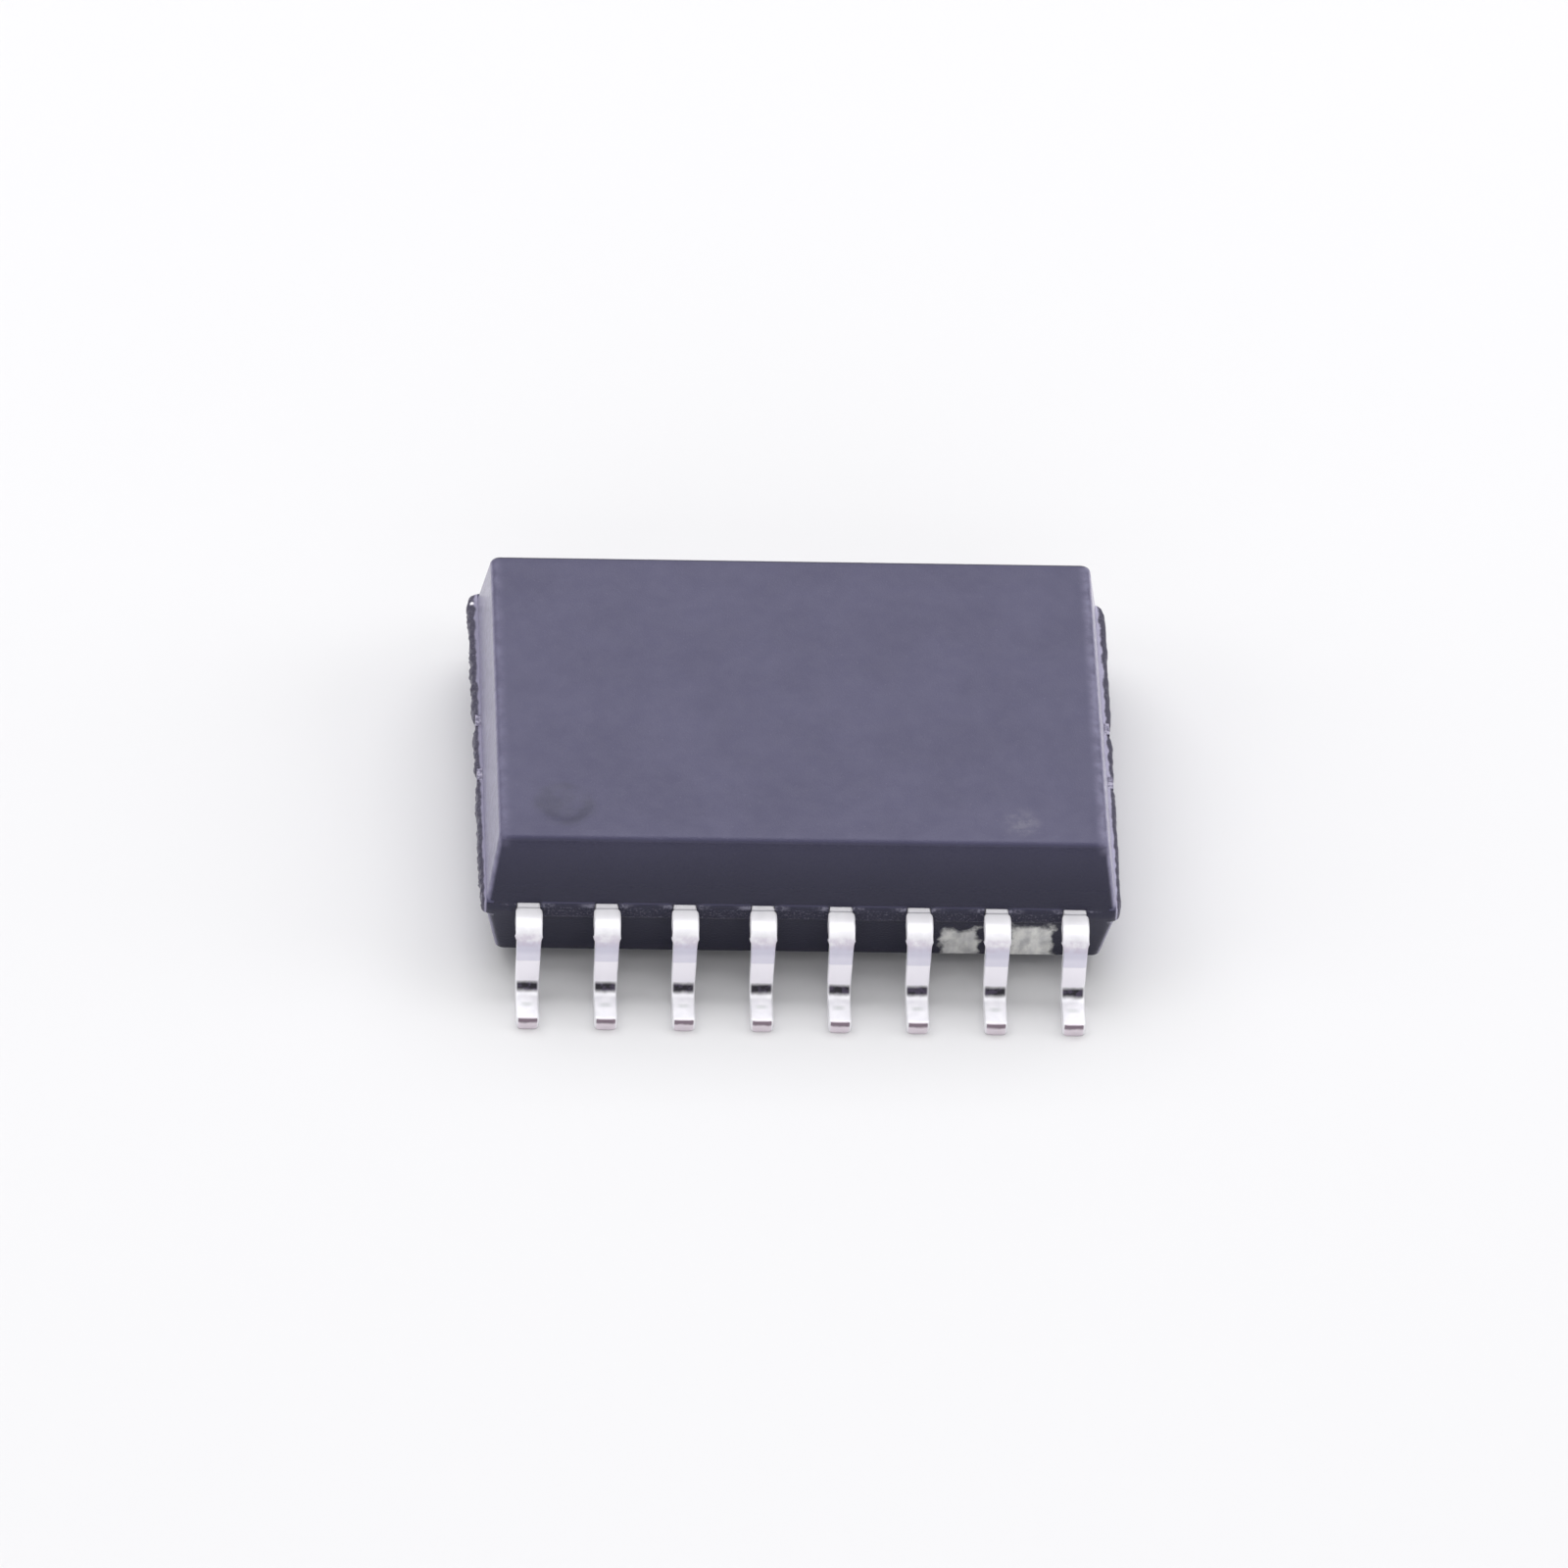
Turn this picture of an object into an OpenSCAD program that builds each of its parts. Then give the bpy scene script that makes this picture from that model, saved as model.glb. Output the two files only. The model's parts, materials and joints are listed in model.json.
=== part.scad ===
// Wide-body SOIC package: an epoxy moulding over a copper lead frame, with gull-wing leads.
// Millimetres. +X runs along the lead rows, -Y is the side of lead 1, and +Z is up.
// The origin is on the seating plane, below the middle of the body.

/* [Moulded body] */
// Length of the body at the parting line, along the lead rows
body_length = 10.30; // [8.8:0.05:11.3]
// Width of the body at the parting line, across the lead rows
body_width = 7.50; // [7.2:0.05:8.5]
// Height of the top face above the seating plane
body_top = 2.64; // [2.4:0.01:3.2]
// Gap between the seating plane and the underside
standoff = 0.25; // [0.1:0.01:0.35]
// Height of the parting line, which is also the middle of the lead frame
parting_height = 1.34; // [1.25:0.01:1.5]
// Draft of each end above the parting line, measured as the inset of the top edge
top_inset_x = 0.20; // [0.1:0.01:0.35]
// Draft of each side above the parting line, measured as the inset of the top edge
top_inset_y = 0.34; // [0.1:0.01:0.45]
// Draft of each end below the parting line, measured as the inset of the bottom edge
bottom_inset_x = 0.21; // [0.1:0.01:0.35]
// Draft of each side below the parting line, measured as the inset of the bottom edge
bottom_inset_y = 0.23; // [0.1:0.01:0.35]
// Radius of the four upright corners
corner_radius = 0.14; // [0.08:0.01:0.25]
// Radius round the edge of the top face
top_edge_radius = 0.09; // [0.04:0.01:0.15]
// Radius round the edge of the underside
bottom_edge_radius = 0.05; // [0.03:0.01:0.1]

/* [Mould marks] */
// Diameter of the round recess that marks lead 1
mark_diameter = 0.95; // [0.5:0.01:1.3]
// Depth of that recess
mark_depth = 0.04; // [0.02:0.01:0.12]
// How much the wall of that recess opens out towards the top
mark_draft = 0.08; // [0.02:0.01:0.1]
// Distance from the body's end to the middle of the recess
mark_from_end = 1.28; // [1.1:0.01:1.6]
// Distance from the body's side to the middle of the recess
mark_from_side = 1.14; // [1.1:0.01:1.5]
// Diameter of the two ejector-pin marks on the underside
ejector_diameter = 1.20; // [0.8:0.01:1.5]
// Depth of the ejector-pin marks
ejector_depth = 0.03; // [0.02:0.01:0.06]
// Distance between the ejector-pin marks, along the lead rows
ejector_spacing = 6.00; // [4:0.1:7]

/* [Flash] */
// How far the trimmed compound between the leads stands out
ledge_reach = 0.02; // [0.01:0.005:0.04]
// How far the flash at the ends stands out at the lead 1 side
flash_front = 0.065; // [0.04:0.005:0.1]
// How far the flash stands out at the other side
flash_rear = 0.145; // [0.08:0.005:0.16]
// The most that the flash stands out anywhere
flash_limit = 0.165; // [0.15:0.005:0.2]
// Roughness of its broken edge, up or down
flash_roughness = 0.016; // [0:0.001:0.03]
// Length over which the flash runs out at the body's corners
flash_run_out = 0.25; // [0.1:0.01:0.5]
// Length of one step along the broken edge
flash_step = 0.17; // [0.1:0.01:0.4]
// Place across the body of the chip in the flash at the left end
chip_place = 1.42; // [1:0.01:2.5]
// Width of that chip
chip_width = 0.14; // [0.05:0.01:0.3]

/* [Leads] */
// Distance from one lead to the next
lead_pitch = 1.27; // [1:0.01:1.3]
// Least distance from the middle of an end lead to the body's end
end_room = 0.60; // [0.5:0.01:0.7]
// Distance over the toes of the two rows
lead_span = 10.30; // [10:0.05:11.5]
// Thickness of the lead frame
lead_thickness = 0.25; // [0.2:0.01:0.28]
// Width of a lead outside the body
lead_width = 0.39; // [0.31:0.01:0.5]
// Inside radius of the bend at the shoulder
shoulder_radius = 0.15; // [0.1:0.01:0.25]
// Inside radius of the bend at the foot
foot_radius = 0.20; // [0.1:0.01:0.25]
// Distance from the outer face of the leg to the toe
foot_length = 0.70; // [0.6:0.01:0.8]
// Radius of the toe's two corners, seen from above
toe_radius = 0.07; // [0.03:0.01:0.1]
// How far the cut stub of the dam bar stands out on each side of a lead
dam_stub = 0.035; // [0.01:0.005:0.05]
// Distance from the body's side to the stub
dam_offset = 0.08; // [0.05:0.01:0.15]
// Length of the stub along the lead, seen from above
dam_length = 0.50; // [0.3:0.01:0.52]
// Length over which the stub runs out towards the leg
dam_run_out = 0.12; // [0.05:0.01:0.2]

/* [Lead frame inside the body] */
// Width of the anchor that locks a lead into the body
anchor_width = 0.74; // [0.6:0.01:0.85]
// Length of that anchor
anchor_length = 0.55; // [0.45:0.01:0.6]
// Cover of compound between the body's side and the anchor
anchor_cover = 0.30; // [0.2:0.01:0.4]
// Diameter of the lock hole in the anchor
lock_hole = 0.28; // [0.2:0.01:0.35]
// Width of a finger at its tip
finger_width = 0.44; // [0.35:0.01:0.5]
// Distance from one finger tip to the next
finger_pitch = 1.02; // [0.8:0.01:1.1]
// Gap between the finger tips and the die paddle
finger_gap = 0.28; // [0.2:0.01:0.4]
// Length of the die paddle
paddle_length = 5.60; // [4.5:0.1:6.4]
// Width of the die paddle
paddle_width = 3.60; // [3.2:0.1:4]
// How far the paddle is set down below the leads
paddle_drop = 0.20; // [0.1:0.01:0.3]
// Length of the sloped step in a tie bar
tie_slope = 0.35; // [0.25:0.01:0.4]
// Length of level tie bar between that step and the body's end
tie_level = 0.75; // [0.6:0.01:0.85]
// Width of a tie bar
tie_width = 0.27; // [0.2:0.01:0.4]
// Distance between the two tie bars at each end
tie_spacing = 1.30; // [0.8:0.01:2]
// How far the cut end of a tie bar stands out from the body
tie_stub = 0.07; // [0.02:0.005:0.1]

/* [Die] */
// Length of the silicon die
die_length = 3.60; // [3.4:0.1:4.4]
// Width of the silicon die
die_width = 2.40; // [2:0.1:2.8]
// Thickness of the silicon die
die_thickness = 0.28; // [0.2:0.01:0.35]
// Thickness of the die-attach layer
attach_thickness = 0.03; // [0.02:0.005:0.05]
// How far the die-attach layer spreads past the die
attach_spread = 0.10; // [0.05:0.01:0.2]

/* [Bond wires] */
// Diameter of a bond wire
wire_diameter = 0.05; // [0.03:0.005:0.06]
// Diameter of the ball where a wire starts on the die
ball_diameter = 0.11; // [0.08:0.005:0.14]
// Height of that ball
ball_height = 0.03; // [0.02:0.005:0.05]
// Height of the straight rise from the die to the bend of the loop
wire_rise = 0.12; // [0.08:0.01:0.2]
// Radius of the bend at the top of the loop
loop_radius = 0.12; // [0.08:0.01:0.15]
// Diameter of the kinks at both ends of that bend, just over the wire's own
kink_diameter = 0.055; // [0.055:0.005:0.07]
// Distance from one bond pad to the next
pad_pitch = 0.44; // [0.3:0.01:0.45]
// Distance from the die's edge to the middle of a bond pad
pad_inset = 0.12; // [0.1:0.01:0.2]
// Distance from a finger's tip to where its wire ends
stitch_inset = 0.22; // [0.15:0.01:0.3]

/* [Hidden] */
eps = 0.01;
leads_per_side = floor((body_length - 2 * end_room) / lead_pitch) + 1;
lead_count = 2 * leads_per_side;
frame_top = parting_height + lead_thickness / 2;
frame_bottom = parting_height - lead_thickness / 2;
side = body_width / 2;
end = body_length / 2;
toe = lead_span / 2;
leg_face = toe - foot_length;
shoulder_outer = shoulder_radius + lead_thickness;
shoulder_centre = [leg_face - shoulder_outer, frame_top - shoulder_outer];
foot_outer = foot_radius + lead_thickness;
foot_centre = [leg_face + foot_radius, foot_outer];
finger_tip = paddle_width / 2 + finger_gap;
anchor_out = side - anchor_cover;
anchor_in = anchor_out - anchor_length;
stitch = finger_tip + stitch_inset;
tie_end = end + tie_stub;
tie_knee = end - tie_level;
paddle_bottom = frame_bottom - paddle_drop;
attach_bottom = paddle_bottom + lead_thickness;
die_bottom = attach_bottom + attach_thickness;
die_top = die_bottom + die_thickness;
corner_inset = corner_radius * (1 - sqrt(0.5));
ring_facets = 32;
flash_seed = 16;
kink_inside = wire_diameter / 8;

function two_digits(i) = str(i < 10 ? "0" : "", i);
function lead_name(i) = str("lead_", two_digits(i));
function wire_name(i) = str("bond_wire_", two_digits(i));

// The leads run 1, 2, 3 from left to right along -Y, and on from right to left along +Y.
function row_place(i) = (i - 1) % leads_per_side - (leads_per_side - 1) / 2;
function row_turn(i) = i > leads_per_side ? 180 : 0;

// ---- Moulded body ----

// A thin level slice of the body, inset from its outline at the parting line
module slice(z, inset_x, inset_y) {
    x = end - inset_x - corner_radius;
    y = side - inset_y - corner_radius;
    for (sx = [-1, 1], sy = [-1, 1])
        translate([sx * x, sy * y, z])
            cylinder(r = corner_radius, h = eps, $fn = ring_facets);
}

// Half of the body, from the parting line up to a face whose edge is rounded
module half_body(height, inset_x, inset_y, edge) {
    hull() {
        slice(0, 0, 0);
        for (a = [0 : 22.5 : 90]) {
            z = height - edge * (1 - sin(a)) - eps;
            share = z / height;
            round_off = edge * (1 - cos(a));
            slice(z, inset_x * share + round_off, inset_y * share + round_off);
        }
    }
}

// How far the flash stands out at a place along the end
function flash_reach(y, noise) =
    let (taper = flash_front + (flash_rear - flash_front) * (y + side) / body_width)
    let (corner = min(1, (side - abs(y)) / flash_run_out))
    min(flash_limit, (taper + noise) * (1 + corner) / 2);

// The flash that filled the gap in the lead frame at one end, with its outer edge broken off
module end_flash(seed) {
    span = side - corner_inset;
    steps = round(2 * span / flash_step);
    noise = rands(-flash_roughness, flash_roughness, steps + 1, seed);
    edge = [for (i = [0 : steps]) let (y = -span + 2 * span * i / steps) [end + flash_reach(y, noise[i]), y]];
    root = end - 2 * corner_radius - top_inset_x;
    translate([0, 0, frame_bottom])
        linear_extrude(height = lead_thickness)
            difference() {
                polygon(concat([[root, -span]], edge, [[root, span]]));
                tie_gaps();
            }
}

// The gaps that the tie bars leave in the flash of one end
module tie_gaps() {
    for (s = [-1, 1])
        translate([end, s * tie_spacing / 2 - tie_width / 2])
            square([2 * flash_limit, tie_width]);
}

module flash_chip() {
    translate([-end - flash_limit, chip_place, parting_height])
        cylinder(d = chip_width, h = 2 * lead_thickness, center = true, $fn = 6);
}

// The compound left between the leads of each row, up to the line where it was trimmed
module lead_ledges() {
    row = (leads_per_side - 1) * lead_pitch;
    translate([-row / 2, -side - ledge_reach, frame_bottom])
        cube([row, body_width + 2 * ledge_reach, lead_thickness]);
}

module lead_one_mark() {
    translate([-end + mark_from_end, -side + mark_from_side, body_top - mark_depth])
        cylinder(d1 = mark_diameter - 2 * mark_draft, d2 = mark_diameter, h = mark_depth, $fn = 64);
}

module ejector_marks() {
    for (s = [-1, 1])
        translate([s * ejector_spacing / 2, 0, standoff])
            cylinder(d = ejector_diameter, h = ejector_depth, $fn = 64);
}

module moulding() {
    translate([0, 0, parting_height])
        half_body(body_top - parting_height, top_inset_x, top_inset_y, top_edge_radius);
    translate([0, 0, parting_height])
        mirror([0, 0, 1])
            half_body(parting_height - standoff, bottom_inset_x, bottom_inset_y, bottom_edge_radius);
    end_flash(flash_seed);
    mirror([1, 0, 0]) end_flash(flash_seed + 1);
    lead_ledges();
}

// The compound fills every space that the lead frame, die and wires leave free
module body() {
    color("#3d3d4c")
        difference() {
            moulding();
            lead_one_mark();
            ejector_marks();
            flash_chip();
            for (i = [1 : lead_count]) lead(i);
            die_paddle();
            die_attach();
            die();
            for (i = [1 : lead_count]) bond_wire(i);
        }
}

// ---- Leads ----

// A quarter of a bent strip: sx and sz say which quarter of the ring
module bend(centre, inside, sx, sz) {
    outside = inside + lead_thickness;
    translate(centre)
        intersection() {
            difference() {
                circle(r = outside, $fn = 64);
                circle(r = inside, $fn = 64);
            }
            translate([sx < 0 ? -outside : 0, sz < 0 ? -outside : 0]) square(outside);
        }
}

// The lead from its side: level out of the body, down the leg and out along the foot
module lead_profile() {
    translate([0, frame_bottom]) square([shoulder_centre[0], lead_thickness]);
    bend(shoulder_centre, shoulder_radius, 1, 1);
    translate([leg_face - lead_thickness, foot_centre[1]])
        square([lead_thickness, shoulder_centre[1] - foot_centre[1]]);
    bend(foot_centre, foot_radius, -1, -1);
    translate([foot_centre[0], 0]) square([toe - foot_centre[0], lead_thickness]);
}

// A rectangle from one distance out of the middle to another, along -Y
module strip(x, width, from, to) {
    translate([x - width / 2, -to]) square([width, to - from]);
}

// What the trimming punch left of the dam bar on both sides of a lead
module dam_stubs(x) {
    near = -side - dam_offset;
    far = near - dam_length;
    half = lead_width / 2;
    wide = half + dam_stub;
    polygon([
        [x - half, near], [x - wide, near - dam_stub], [x - wide, far + dam_run_out], [x - half, far],
        [x + half, far], [x + wide, far + dam_run_out], [x + wide, near - dam_stub], [x + half, near]
    ]);
}

// The lead from above, as it was stamped: foot, dam-bar stub, anchor with lock hole, and finger
module lead_outline(place) {
    x = place * lead_pitch;
    tip = place * finger_pitch;
    difference() {
        union() {
            strip(x, lead_width, anchor_in, toe - toe_radius);
            strip(x, lead_width - 2 * toe_radius, toe - 2 * toe_radius, toe);
            for (s = [-1, 1])
                translate([x + s * (lead_width / 2 - toe_radius), -toe + toe_radius])
                    circle(r = toe_radius, $fn = 32);
            dam_stubs(x);
            strip(x, anchor_width, anchor_in, anchor_out);
            polygon([
                [x - finger_width / 2, -anchor_in - eps], [x + finger_width / 2, -anchor_in - eps],
                [x + finger_width / 2, -anchor_in],
                [tip + finger_width / 2, -finger_tip - stitch_inset],
                [tip + finger_width / 2, -finger_tip], [tip - finger_width / 2, -finger_tip],
                [tip - finger_width / 2, -finger_tip - stitch_inset],
                [x - finger_width / 2, -anchor_in]
            ]);
        }
        translate([x, -(anchor_in + anchor_out) / 2]) circle(d = lock_hole, $fn = 32);
    }
}

module lead(i) {
    color("#e6e6e8")
        rotate(row_turn(i))
            intersection() {
                rotate([90, 0, -90])
                    linear_extrude(height = 2 * body_length, center = true) lead_profile();
                translate([0, 0, -eps])
                    linear_extrude(height = body_top) lead_outline(row_place(i));
            }
}

// ---- Die paddle, die and wires ----

// The paddle and its tie bars from the front, set down between the tie bars' steps
module paddle_profile() {
    low = paddle_bottom;
    high = frame_bottom;
    knee = tie_knee - tie_slope;
    under = [[-tie_end, high], [-tie_knee, high], [-knee, low], [knee, low], [tie_knee, high], [tie_end, high]];
    upper = [for (i = [len(under) - 1 : -1 : 0]) under[i] + [0, lead_thickness]];
    polygon(concat(under, upper));
}

module paddle_outline() {
    square([paddle_length, paddle_width], center = true);
    for (s = [-1, 1])
        translate([0, s * tie_spacing / 2]) square([2 * tie_end, tie_width], center = true);
}

module die_paddle() {
    color("#b87348")
        intersection() {
            rotate([90, 0, 0])
                linear_extrude(height = 2 * paddle_width, center = true) paddle_profile();
            linear_extrude(height = body_top) paddle_outline();
        }
}

module die_attach() {
    color("#c8c8c4")
        translate([-die_length / 2 - attach_spread, -die_width / 2 - attach_spread, attach_bottom])
            cube([die_length + 2 * attach_spread, die_width + 2 * attach_spread, attach_thickness]);
}

module die() {
    color("#5b6270")
        translate([-die_length / 2, -die_width / 2, die_bottom])
            cube([die_length, die_width, die_thickness]);
}

// A wire rises from its ball on the die, bends over and runs straight down to its finger.
module bond_wire(i) {
    pad = [row_place(i) * pad_pitch, -die_width / 2 + pad_inset];
    run = [row_place(i) * finger_pitch, -stitch] - pad;
    rise = ball_height + wire_rise;
    across = norm(run) - loop_radius;
    down = die_top + rise - frame_top;
    direct = norm([across, down]);
    slope = atan2(down, across) + asin(loop_radius / direct);
    color("#d8a640")
        rotate(row_turn(i))
            translate([pad[0], pad[1], die_top])
                rotate(atan2(run[1], run[0])) {
                    cylinder(d = ball_diameter, h = ball_height, $fn = 32);
                    cylinder(d = wire_diameter, h = rise - kink_inside, $fn = 32);
                    translate([loop_radius, 0, rise]) {
                        wire_bend(90 + slope);
                        translate([-loop_radius, 0, 0]) kink();
                        rotate([0, slope, 0])
                            translate([0, 0, loop_radius]) rotate([0, 90, 0]) kink();
                    }
                    wire_run(rise, slope, sqrt(direct * direct - loop_radius * loop_radius));
                }
}

// The slightly squeezed stretch at an end of the bend
module kink() {
    cylinder(d = kink_diameter, h = 4 * kink_inside, $fn = 32, center = true);
}

// The bend at the top of the loop, which starts and ends inside the kinks
module wire_bend(turn) {
    spare = asin(kink_inside / loop_radius);
    rotate([90, 0, 180])
        rotate(spare)
            rotate_extrude(angle = turn - 2 * spare, $fn = 64)
                translate([loop_radius, 0]) circle(d = wire_diameter, $fn = 32);
}

// The straight run of a wire, trimmed flush with the top of its finger
module wire_run(rise, slope, length) {
    intersection() {
        translate([loop_radius, 0, rise])
            rotate([0, slope, 0])
                translate([kink_inside, 0, loop_radius])
                    rotate([0, 90, 0]) cylinder(d = wire_diameter, h = length + wire_diameter, $fn = 32);
        translate([-lead_span, -lead_span, frame_top - die_top]) cube([2 * lead_span, 2 * lead_span, body_top]);
    }
}

body();
die_paddle();
die_attach();
die();
for (i = [1 : lead_count]) lead(i);
for (i = [1 : lead_count]) bond_wire(i);
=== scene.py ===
"""Looks of the wide-body SOIC package: materials, detailed meshes, studio light and camera."""

import json
import math

import bmesh
import bpy
from mathutils import Matrix, Vector, noise

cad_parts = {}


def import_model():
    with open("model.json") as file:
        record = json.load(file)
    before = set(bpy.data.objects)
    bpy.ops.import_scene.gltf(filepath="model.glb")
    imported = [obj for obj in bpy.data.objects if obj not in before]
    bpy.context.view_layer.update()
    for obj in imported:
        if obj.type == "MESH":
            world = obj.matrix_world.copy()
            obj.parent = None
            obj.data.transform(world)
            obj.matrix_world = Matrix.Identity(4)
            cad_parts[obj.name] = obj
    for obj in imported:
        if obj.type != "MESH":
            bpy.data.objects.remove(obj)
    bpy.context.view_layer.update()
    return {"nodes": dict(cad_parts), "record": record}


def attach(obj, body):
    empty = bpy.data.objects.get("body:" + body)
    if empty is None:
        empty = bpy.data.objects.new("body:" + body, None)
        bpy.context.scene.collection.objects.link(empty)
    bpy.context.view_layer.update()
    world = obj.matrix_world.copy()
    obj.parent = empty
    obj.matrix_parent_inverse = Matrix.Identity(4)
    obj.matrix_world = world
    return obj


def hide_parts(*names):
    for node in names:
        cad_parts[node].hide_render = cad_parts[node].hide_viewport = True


MM = 0.001
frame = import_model()


# ---- Dimensions of the package, in mm, in the frame of the CAD ----

# Body: half length and half width at the parting line, heights, roundings, and the walls' lean in x and in y
END, SIDE, TOP, STANDOFF, PARTING = 5.15, 3.75, 2.64, 0.25, 1.34
CORNER, TOP_EDGE, BOTTOM_EDGE = 0.14, 0.09, 0.05
ARC_STEPS = 8
TOP_INSET, BOTTOM_INSET = (0.20, 0.34), (0.21, 0.23)
# Lead frame: the width is that of a slot in the body
PITCH, LEADS_PER_SIDE = 1.27, 8
OUTER_LEAD = (LEADS_PER_SIDE - 1) / 2 * PITCH
THICK, WIDTH = 0.25, 0.39
FRAME_TOP, FRAME_BOTTOM = PARTING + THICK / 2, PARTING - THICK / 2
TIE_PLACES, TIE_WIDTH = (-0.65, 0.65), 0.27
# Lead: how far out its toe, its leg's outer face and the start of its formed part are, and its inner radii
TOE, LEG_FACE, LEAD_START = 5.15, 4.45, 3.62
SHOULDER, FOOT = 0.15, 0.20
TOE_RADIUS, TOE_BEVEL = 0.07, 0.014
# Lines that the forming tool left: a length along the lead, and a distance out
ROOT_LINE, FOOT_LINE = 0.20, 4.82
# Recess that marks lead 1, and the ejector pins' marks on the underside
MARK_PLACE, MARK_RADIUS, MARK_DEPTH, MARK_SOFT = (-3.87, -2.61), 0.475, 0.03, 0.25
MARK_NET = MARK_RADIUS + 0.03
EJECTORS, EJECTOR_RADIUS, EJECTOR_DEPTH = ((-3.0, 0.0), (3.0, 0.0)), 0.60, 0.03
# Broken flash at the ends, with the chip out of the left one, and trimmed ledges between the leads
FLASH_FRONT, FLASH_REAR, FLASH_LIMIT, FLASH_RUN_OUT = 0.065, 0.140, 0.16, 0.25
CHIP_PLACE, CHIP_DEPTH, CHIP_WIDTH = 1.42, 0.035, 0.05
LEDGE = 0.02
# Dried film on the front wall (middle, half width, top, cover), a pale dab on the top, a speck on the flash
RESIDUE_PATCHES = ((2.62, 0.31, 1.00, 0.88), (3.785, 0.345, 1.12, 1.0))
DAB_PLACE = (3.56, -2.92, TOP)
SPECK_PLACE = (-5.225, 3.52, 1.465)


# ---- Node helpers ----

def srgb(r, g, b):
    """Linear colour from 8-bit sRGB values."""
    def channel(v):
        v /= 255
        return v / 12.92 if v <= 0.04045 else ((v + 0.055) / 1.055) ** 2.4
    return (channel(r), channel(g), channel(b), 1)


class Nodes:
    """Short calls for the nodes used here, in the node tree of a material or of the world."""

    def __init__(self, tree):
        self.tree = tree

    def add(self, kind, **settings):
        node = self.tree.nodes.new(kind)
        for key, value in settings.items():
            setattr(node, key, value)
        return node

    def link(self, a, b):
        self.tree.links.new(a, b)

    def put(self, socket, value):
        """Links value to the socket, or sets it where it is a plain number or colour."""
        if isinstance(value, bpy.types.NodeSocket):
            self.link(value, socket)
        else:
            socket.default_value = value

    def math(self, operation, a, b=0.0, c=0.0):
        node = self.add("ShaderNodeMath", operation=operation)
        for socket, value in zip(node.inputs, (a, b, c)):
            self.put(socket, value)
        return node.outputs["Value"]

    def absolute(self, a):
        return self.math("ABSOLUTE", a)

    def minus(self, a, b):
        return self.math("SUBTRACT", a, b)

    def plus(self, a, b):
        return self.math("ADD", a, b)

    def larger(self, a, b):
        return self.math("MAXIMUM", a, b)

    def product(self, first, *others):
        for other in others:
            first = self.math("MULTIPLY", first, other)
        return first

    def apart(self, a, b):
        """How far two numbers are apart."""
        return self.absolute(self.minus(a, b))

    def ramp(self, value, low, high, to_low=0.0, to_high=1.0):
        """A smooth step of value from low..high to to_low..to_high."""
        node = self.add("ShaderNodeMapRange", interpolation_type="SMOOTHSTEP")
        self.put(node.inputs["Value"], value)
        for key, number in (("From Min", low), ("From Max", high), ("To Min", to_low), ("To Max", to_high)):
            node.inputs[key].default_value = number
        return node.outputs["Result"]

    def blend(self, share, a, b):
        """A number that goes from a to b with share."""
        node = self.add("ShaderNodeMix", data_type="FLOAT")
        for key, value in (("Factor", share), ("A", a), ("B", b)):
            self.put(node.inputs[key], value)
        return node.outputs["Result"]

    def mix(self, share, a, b):
        """A colour that goes from a to b with share."""
        node = self.add("ShaderNodeMix", data_type="RGBA")
        self.put(node.inputs["Factor"], share)
        colours = [s for s in node.inputs if s.type == "RGBA"]
        self.put(colours[0], a)
        self.put(colours[1], b)
        return [s for s in node.outputs if s.type == "RGBA"][0]

    def axes(self, vector):
        node = self.add("ShaderNodeSeparateXYZ")
        self.link(vector, node.inputs[0])
        return node.outputs[0], node.outputs[1], node.outputs[2]


class Material(Nodes):
    """A material; x, y and z are a point's place in mm, across and out its distances from the middle."""

    def __init__(self, name):
        self.material = bpy.data.materials.new(name)
        self.material.use_nodes = True
        super().__init__(self.material.node_tree)
        self.shader = self.tree.nodes["Principled BSDF"]
        coords = self.add("ShaderNodeTexCoord")
        scale = self.add("ShaderNodeVectorMath", operation="SCALE")
        scale.inputs["Scale"].default_value = 1 / MM
        self.link(coords.outputs["Object"], scale.inputs[0])
        self.place = scale.outputs["Vector"]
        self.x, self.y, self.z = self.axes(self.place)
        self.across, self.out = self.absolute(self.x), self.absolute(self.y)
        self.facing = [self.absolute(axis) for axis in self.axes(coords.outputs["Normal"])]

    def noise(self, per_mm, detail=3, roughness=0.5, stretch=None):
        """Noise with about so many features to a mm, fewer along an axis whose stretch is under 1."""
        place = self.place
        if stretch:
            scaled = self.add("ShaderNodeVectorMath", operation="MULTIPLY")
            self.link(place, scaled.inputs[0])
            scaled.inputs[1].default_value = stretch
            place = scaled.outputs["Vector"]
        node = self.add("ShaderNodeTexNoise")
        self.link(place, node.inputs["Vector"])
        node.inputs["Scale"].default_value = per_mm
        node.inputs["Detail"].default_value = detail
        node.inputs["Roughness"].default_value = roughness
        return node.outputs["Fac"]

    def near(self, point, outer, inner):
        """1 within the inner distance of a point, 0 beyond the outer one."""
        node = self.add("ShaderNodeVectorMath", operation="DISTANCE")
        self.link(self.place, node.inputs[0])
        node.inputs[1].default_value = point
        return self.ramp(node.outputs["Value"], outer, inner)

    def bump(self, height, depth_mm):
        node = self.add("ShaderNodeBump")
        node.inputs["Strength"].default_value = 1.0
        node.inputs["Distance"].default_value = depth_mm * MM
        self.link(height, node.inputs["Height"])
        self.link(node.outputs["Normal"], self.shader.inputs["Normal"])

    def surface(self, **values):
        for key, value in values.items():
            self.put(self.shader.inputs[key.replace("_", " ")], value)


def from_lead(t):
    """Distance along x from the middle of the nearest lead, in pitches."""
    return t.minus(t.math("FRACT", t.math("DIVIDE", t.x, PITCH)), 0.5)


# ---- Moulding compound ----

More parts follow.
